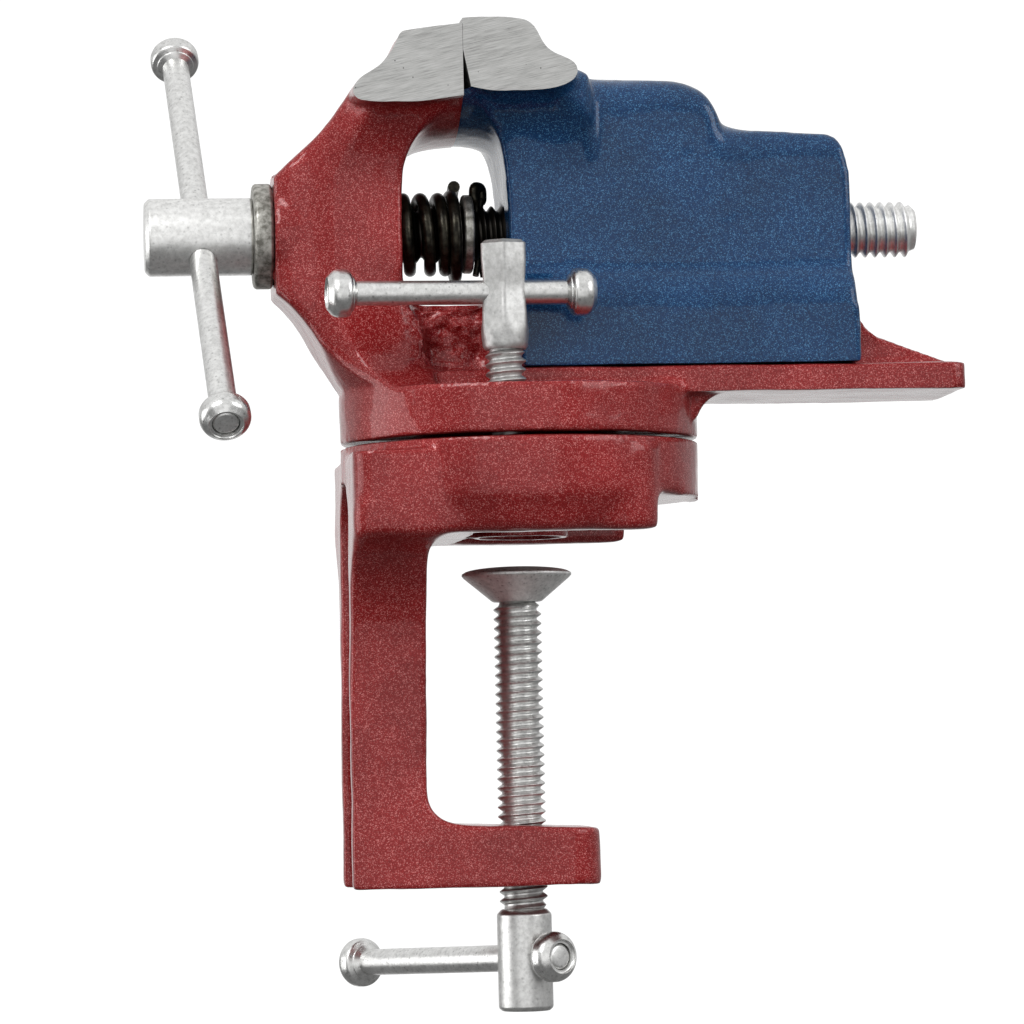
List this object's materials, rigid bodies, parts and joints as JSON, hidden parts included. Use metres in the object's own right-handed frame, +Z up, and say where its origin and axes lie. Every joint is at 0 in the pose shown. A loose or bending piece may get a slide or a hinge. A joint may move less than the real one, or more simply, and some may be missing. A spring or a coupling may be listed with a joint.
{
  "type": "bench vise",
  "caption": "Small clamp-on swivel bench vise: two cast jaws closed by a screw with a sliding bar, on a disc that turns above a C-shaped bench clamp.",
  "frame": {"origin": "on the swivel axis, in the plane where the table rests on the bench", "axes": "+X toward the tail and the sliding jaw, -X toward the main handle, -Y toward the side with the lock screw, +Z up along the swivel axis"},
  "size_m": [0.1601, 0.0916, 0.1993],
  "materials": {
    "red_paint": "metallic gloss",
    "red_paint_body": "metallic gloss, ground bare iron at the jaw",
    "blue_paint": "metallic gloss, ground bare iron at the jaw",
    "pivot_steel": "satin",
    "screw_steel": "satin plated",
    "olive_washer": "dull",
    "black_spring": "oiled black",
    "black_washer": "dull oiled",
    "black_pin": "oiled black",
    "bar_nickel": "plated, pitted",
    "knob_nickel": "plated, turned",
    "lock_nickel": "plated, pressed flats",
    "pad_steel": "dull cast"
  },
  "bodies": {
    "frame": {"clamp_frame": "red_paint"},
    "upper": {"fixed_jaw_body": "red_paint_body", "pivot_bolt": "pivot_steel", "pivot_washer": "pivot_steel"},
    "sliding_jaw": {"moving_jaw": "blue_paint"},
    "main_screw": {"spindle": "screw_steel", "thrust_washer": "olive_washer", "spindle_spring": "black_spring", "spring_washer": "black_washer", "split_pin": "black_pin"},
    "main_handle": {"main_handle_bar": "bar_nickel", "main_handle_knob_top": "knob_nickel", "main_handle_knob_low": "knob_nickel"},
    "pad": {"clamp_pad": "pad_steel"},
    "clamp_screw_body": {"clamp_screw": "screw_steel"},
    "clamp_handle": {"clamp_handle_bar": "bar_nickel", "clamp_handle_knob_near": "knob_nickel", "clamp_handle_knob_far": "knob_nickel"},
    "lock_screw_body": {"lock_screw": "lock_nickel"},
    "lock_handle": {"lock_handle_bar": "bar_nickel", "lock_handle_knob_left": "knob_nickel", "lock_handle_knob_right": "knob_nickel"}
  },
  "joints": [
    {"name": "swivel", "type": "hinge", "parent": "frame", "child": "upper", "pos_m": [0, 0, 0], "axis": [0, 0, 1], "continuous": true},
    {"name": "main_screw_turn", "type": "hinge", "parent": "upper", "child": "main_screw", "pos_m": [0, 0, 0.0605], "axis": [-1, 0, 0], "range_deg": [0, 8101]},
    {"name": "jaw_slide", "type": "slide", "parent": "upper", "child": "sliding_jaw", "axis": [1, 0, 0], "range_m": [0, 0.045]},
    {"name": "main_handle_slide", "type": "slide", "parent": "main_screw", "child": "main_handle", "axis": [-0.0454, 0.7193, 0.6932], "range_m": [-0.0475, 0.043]},
    {"name": "pad_lift", "type": "slide", "parent": "frame", "child": "pad", "axis": [0, 0, 1], "range_m": [-0.042, 0.0035]},
    {"name": "clamp_screw_turn", "type": "hinge", "parent": "pad", "child": "clamp_screw_body", "pos_m": [-0.001, 0, 0], "axis": [0, 0, 1], "range_deg": [-8150, 670]},
    {"name": "clamp_handle_slide", "type": "slide", "parent": "clamp_screw_body", "child": "clamp_handle", "axis": [0.5589, -0.8285, 0.0349], "range_m": [0, 0.0425]},
    {"name": "lock_screw_turn", "type": "hinge", "parent": "upper", "child": "lock_screw_body", "pos_m": [-0.005, -0.027, 0.035], "axis": [0, 0, 1], "range_deg": [-14, 12]},
    {"name": "lock_handle_slide", "type": "slide", "parent": "lock_screw_body", "child": "lock_handle", "axis": [-0.9976, -0.0698, 0], "range_m": [-0.023, 0.0065]}
  ],
  "couplings": [
    {"joint": "main_screw_turn", "follows": "jaw_slide", "rad_per_m": 3141.6},
    {"joint": "pad_lift", "follows": "clamp_screw_turn", "m_per_rad": 0.00029444}
  ]
}
